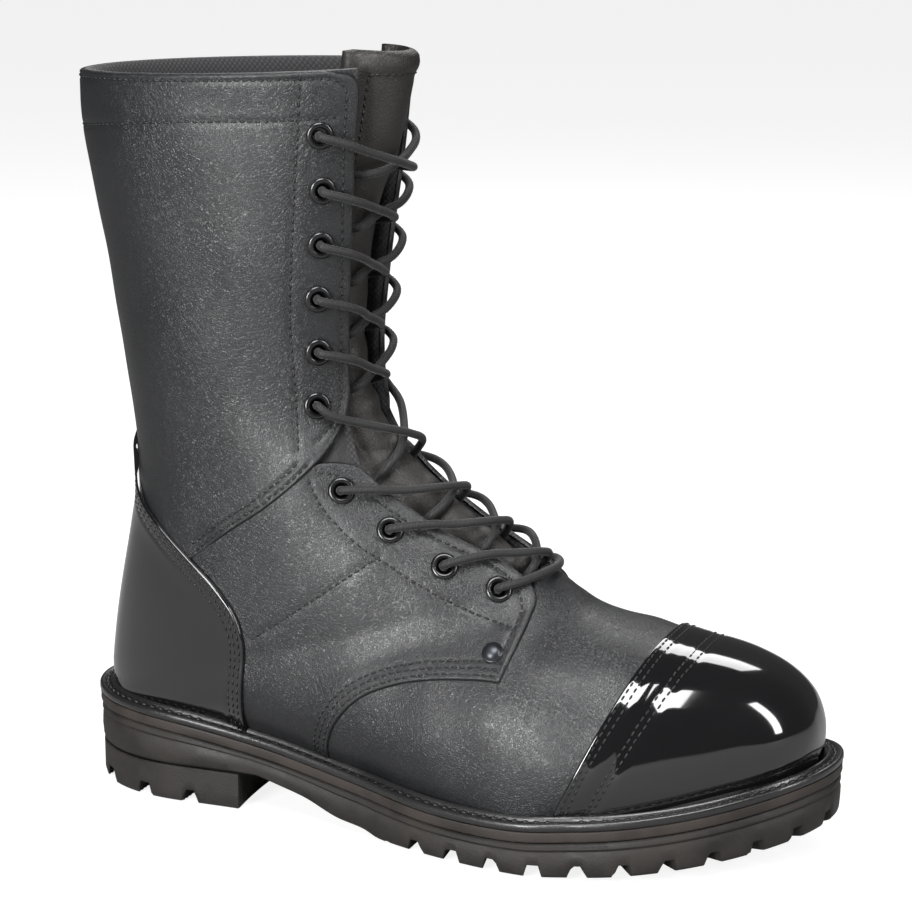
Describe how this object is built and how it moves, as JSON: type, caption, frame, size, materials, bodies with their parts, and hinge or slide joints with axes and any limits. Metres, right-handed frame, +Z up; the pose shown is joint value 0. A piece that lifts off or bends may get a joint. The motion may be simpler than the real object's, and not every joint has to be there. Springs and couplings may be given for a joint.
{
  "type": "duty boot",
  "caption": "Tall black lace-up duty boot for the right foot, with a glossy toe cap and heel counter, a stitched welt, a padded collar and a lugged rubber sole.",
  "frame": {"origin": "centre of the bounding box at the ground plane", "axes": "+X to the toe, +Y to the inner (medial) side, +Z up"},
  "size_m": [0.31, 0.1114, 0.2998],
  "materials": {
    "sole_rubber": "matt moulded",
    "midsole_rubber": "matt ground edge",
    "welt_leather": "waxed edge",
    "cork": "granular",
    "shank_steel": "sprung strip",
    "board": "pressed fibre",
    "footbed_fabric": "textile over foam",
    "patent_leather": "mirror gloss",
    "black_leather": "fine grain, satin",
    "stiffener": "fibre sheet",
    "lining_fabric": "woven",
    "tongue_leather": "soft, fine grain",
    "stay_leather": "split",
    "dark_metal": "dark satin",
    "eyelet_metal": "black lacquer",
    "lace_fabric": "round braid",
    "aglet_plastic": "clear coat"
  },
  "bodies": {
    "boot": {"outsole": "sole_rubber", "heel_block": "sole_rubber", "midsole": "midsole_rubber", "welt": "welt_leather", "cork_filler": "cork", "shank": "shank_steel", "insole_board": "board", "footbed": "footbed_fabric", "toe_cap": "patent_leather", "heel_counter": "patent_leather", "vamp": "black_leather", "toe_puff": "stiffener", "heel_stiffener": "stiffener", "vamp_lining": "lining_fabric", "backstay": "black_leather", "tongue_lower": "tongue_leather", "lace": "lace_fabric", "shaft_lateral": "black_leather", "quarter_lateral": "black_leather", "eyelet_stay_lateral": "stay_leather", "lining_lateral": "lining_fabric", "rivet_lateral": "dark_metal", "gusset_lateral": "tongue_leather", "aglet_lateral": "aglet_plastic", "shaft_medial": "black_leather", "quarter_medial": "black_leather", "eyelet_stay_medial": "stay_leather", "lining_medial": "lining_fabric", "rivet_medial": "dark_metal", "gusset_medial": "tongue_leather", "aglet_medial": "aglet_plastic", "eyelet_lateral_1": "eyelet_metal", "eyelet_lateral_2": "eyelet_metal", "eyelet_lateral_3": "eyelet_metal", "eyelet_lateral_4": "eyelet_metal", "eyelet_lateral_5": "eyelet_metal", "eyelet_lateral_6": "eyelet_metal", "eyelet_lateral_7": "eyelet_metal", "eyelet_lateral_8": "eyelet_metal", "eyelet_lateral_9": "eyelet_metal", "eyelet_lateral_10": "eyelet_metal", "eyelet_medial_1": "eyelet_metal", "eyelet_medial_2": "eyelet_metal", "eyelet_medial_3": "eyelet_metal", "eyelet_medial_4": "eyelet_metal", "eyelet_medial_5": "eyelet_metal", "eyelet_medial_6": "eyelet_metal", "eyelet_medial_7": "eyelet_metal", "eyelet_medial_8": "eyelet_metal", "eyelet_medial_9": "eyelet_metal", "eyelet_medial_10": "eyelet_metal"},
    "tongue_top": {"tongue_top": "tongue_leather"}
  },
  "joints": [
    {"name": "tongue_fold", "type": "hinge", "parent": "boot", "child": "tongue_top", "pos_m": [-0.046, 0, 0.268], "axis": [0, 1, 0], "range_deg": [-25, 0]}
  ]
}
